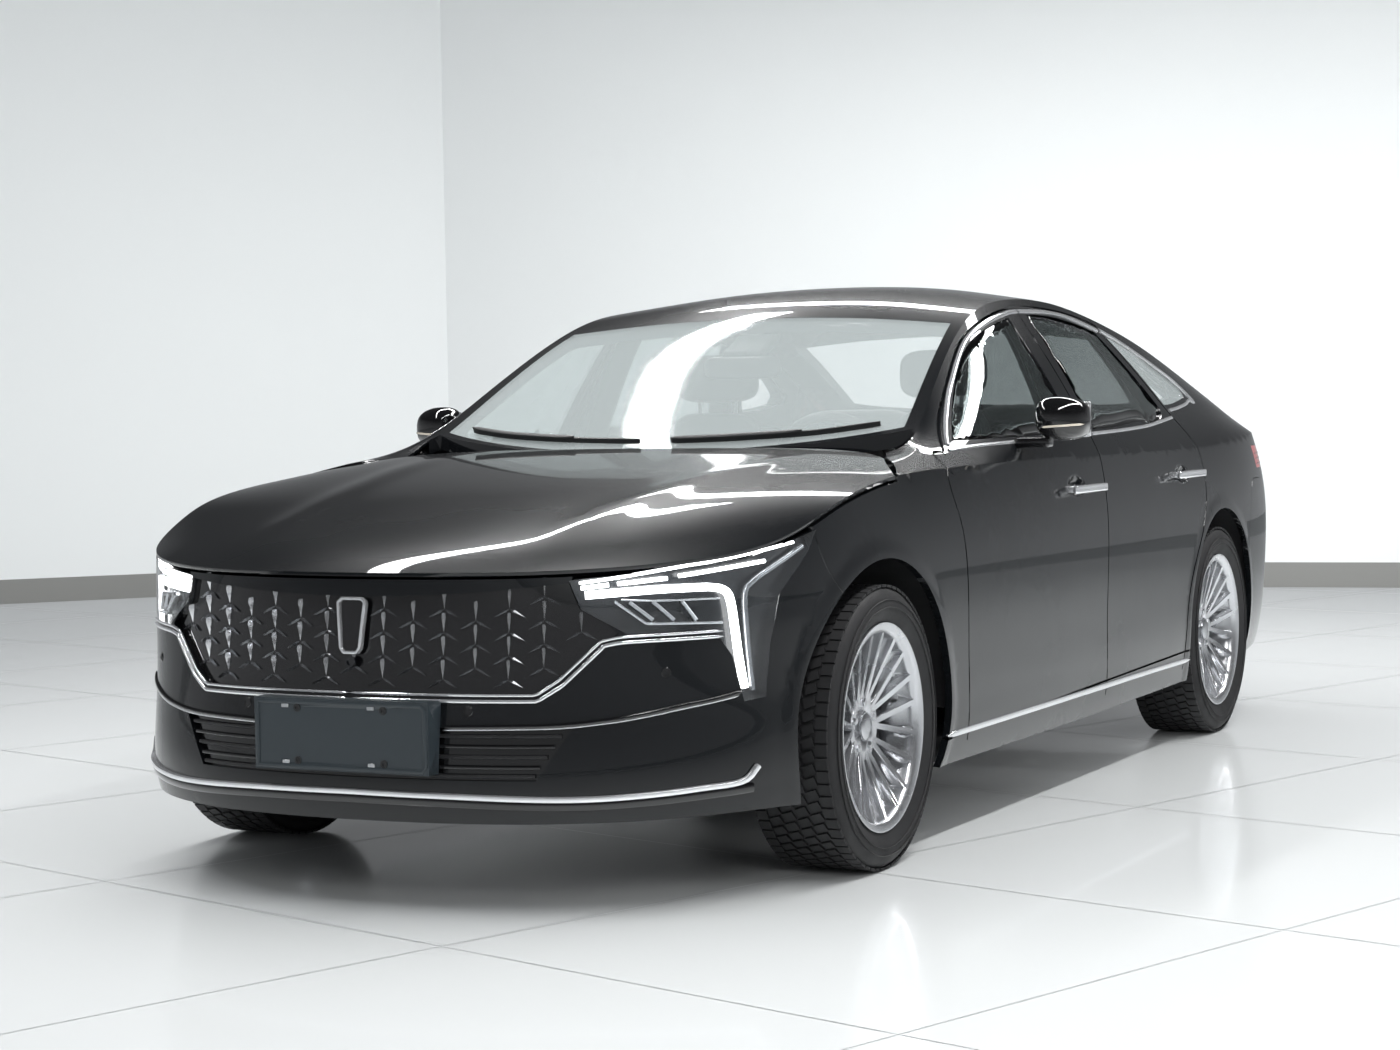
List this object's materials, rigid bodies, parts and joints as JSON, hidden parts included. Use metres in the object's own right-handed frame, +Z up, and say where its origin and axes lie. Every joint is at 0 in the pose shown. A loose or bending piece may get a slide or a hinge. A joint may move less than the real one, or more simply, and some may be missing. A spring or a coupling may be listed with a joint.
{
  "type": "sedan car",
  "caption": "Four-door fastback sedan with opening doors, hood and trunk lid, steered front wheels and a furnished cabin, standing on its wheels.",
  "frame": {"origin": "on the ground under the middle of the car", "axes": "+Z up, the nose points to -Y, +X is the car's left side"},
  "size_m": [2.06, 4.809, 1.4268],
  "materials": {
    "paint": "gloss near-black paint",
    "trim": "matte black moulding",
    "chrome": "bright polished trim",
    "lamp": "clear lamp cover over white light bars",
    "tail_lamp": "red lamp cover",
    "glass": "tinted window glass",
    "clear_glass": "clear window glass",
    "steel": "body steel in dark coat",
    "casting": "cast suspension parts",
    "alloy": "silver wheel",
    "tyre": "tyre rubber",
    "seat": "dark seat cover",
    "dash": "dark soft dashboard",
    "cover": "dark body-coloured fittings"
  },
  "bodies": {
    "body": {"front_bumper": "paint", "nose_panel": "paint", "headlamps": "lamp", "grilles": "trim", "front_fenders": "paint", "sill_covers": "paint", "side_panels": "paint", "tail_lamps": "tail_lamp", "rear_bumper": "paint", "roof": "paint", "fixed_windows": "clear_glass", "door_frames": "steel", "floor": "steel", "front_structure": "steel", "engine_block": "casting", "wheel_liners": "trim", "front_suspension": "casting", "rear_axle": "casting", "seats": "seat", "dashboard": "dash", "steering_wheel": "dash", "plate_carrier": "trim", "underbody": "trim"},
    "hood": {"hood": "paint"},
    "trunk_lid": {"trunk_lid": "paint"},
    "door_front_left": {"door_front_left": "paint", "door_front_glass_left": "glass", "door_front_fittings_left": "cover"},
    "door_rear_left": {"door_rear_left": "paint", "door_rear_glass_left": "glass", "door_rear_handle_left": "chrome"},
    "knuckle_left": {"knuckle_left": "casting"},
    "wheel_front_left": {"tyre_front_left": "tyre", "rim_front_left": "alloy"},
    "wheel_rear_left": {"tyre_rear_left": "tyre", "rim_rear_left": "alloy"},
    "door_front_right": {"door_front_right": "paint", "door_front_glass_right": "glass", "door_front_fittings_right": "cover"},
    "door_rear_right": {"door_rear_right": "paint", "door_rear_glass_right": "glass", "door_rear_handle_right": "chrome"},
    "knuckle_right": {"knuckle_right": "casting"},
    "wheel_front_right": {"tyre_front_right": "tyre", "rim_front_right": "alloy"},
    "wheel_rear_right": {"tyre_rear_right": "tyre", "rim_rear_right": "alloy"}
  },
  "joints": [
    {"name": "door_front_left_hinge", "type": "hinge", "parent": "body", "child": "door_front_left", "pos_m": [0.905, -0.972, 0.6], "axis": [0, 0, -1], "range_deg": [0, 65]},
    {"name": "door_rear_left_hinge", "type": "hinge", "parent": "body", "child": "door_rear_left", "pos_m": [0.908, 0.14, 0.6], "axis": [0, 0, -1], "range_deg": [0, 65]},
    {"name": "door_front_right_hinge", "type": "hinge", "parent": "body", "child": "door_front_right", "pos_m": [-0.905, -0.972, 0.6], "axis": [0, 0, 1], "range_deg": [0, 65]},
    {"name": "door_rear_right_hinge", "type": "hinge", "parent": "body", "child": "door_rear_right", "pos_m": [-0.908, 0.14, 0.6], "axis": [0, 0, 1], "range_deg": [0, 65]},
    {"name": "hood_hinge", "type": "hinge", "parent": "body", "child": "hood", "pos_m": [0, -0.975, 0.935], "axis": [-1, 0, 0], "range_deg": [0, 50]},
    {"name": "trunk_lid_hinge", "type": "hinge", "parent": "body", "child": "trunk_lid", "pos_m": [0, 1.88, 1], "axis": [1, 0, 0], "range_deg": [0, 70]},
    {"name": "steer_left", "type": "hinge", "parent": "body", "child": "knuckle_left", "pos_m": [0.7, -1.505, 0.33], "axis": [0, 0, 1], "range_deg": [-35, 35]},
    {"name": "wheel_front_left_spin", "type": "hinge", "parent": "knuckle_left", "child": "wheel_front_left", "pos_m": [0.792, -1.505, 0.33], "axis": [1, 0, 0], "continuous": true},
    {"name": "wheel_rear_left_spin", "type": "hinge", "parent": "body", "child": "wheel_rear_left", "pos_m": [0.792, 1.295, 0.33], "axis": [1, 0, 0], "continuous": true},
    {"name": "steer_right", "type": "hinge", "parent": "body", "child": "knuckle_right", "pos_m": [-0.7, -1.505, 0.33], "axis": [0, 0, 1], "range_deg": [-35, 35]},
    {"name": "wheel_front_right_spin", "type": "hinge", "parent": "knuckle_right", "child": "wheel_front_right", "pos_m": [-0.792, -1.505, 0.33], "axis": [1, 0, 0], "continuous": true},
    {"name": "wheel_rear_right_spin", "type": "hinge", "parent": "body", "child": "wheel_rear_right", "pos_m": [-0.792, 1.295, 0.33], "axis": [1, 0, 0], "continuous": true}
  ],
  "couplings": [
    {"joint": "steer_right", "follows": "steer_left", "ratio": 1}
  ]
}
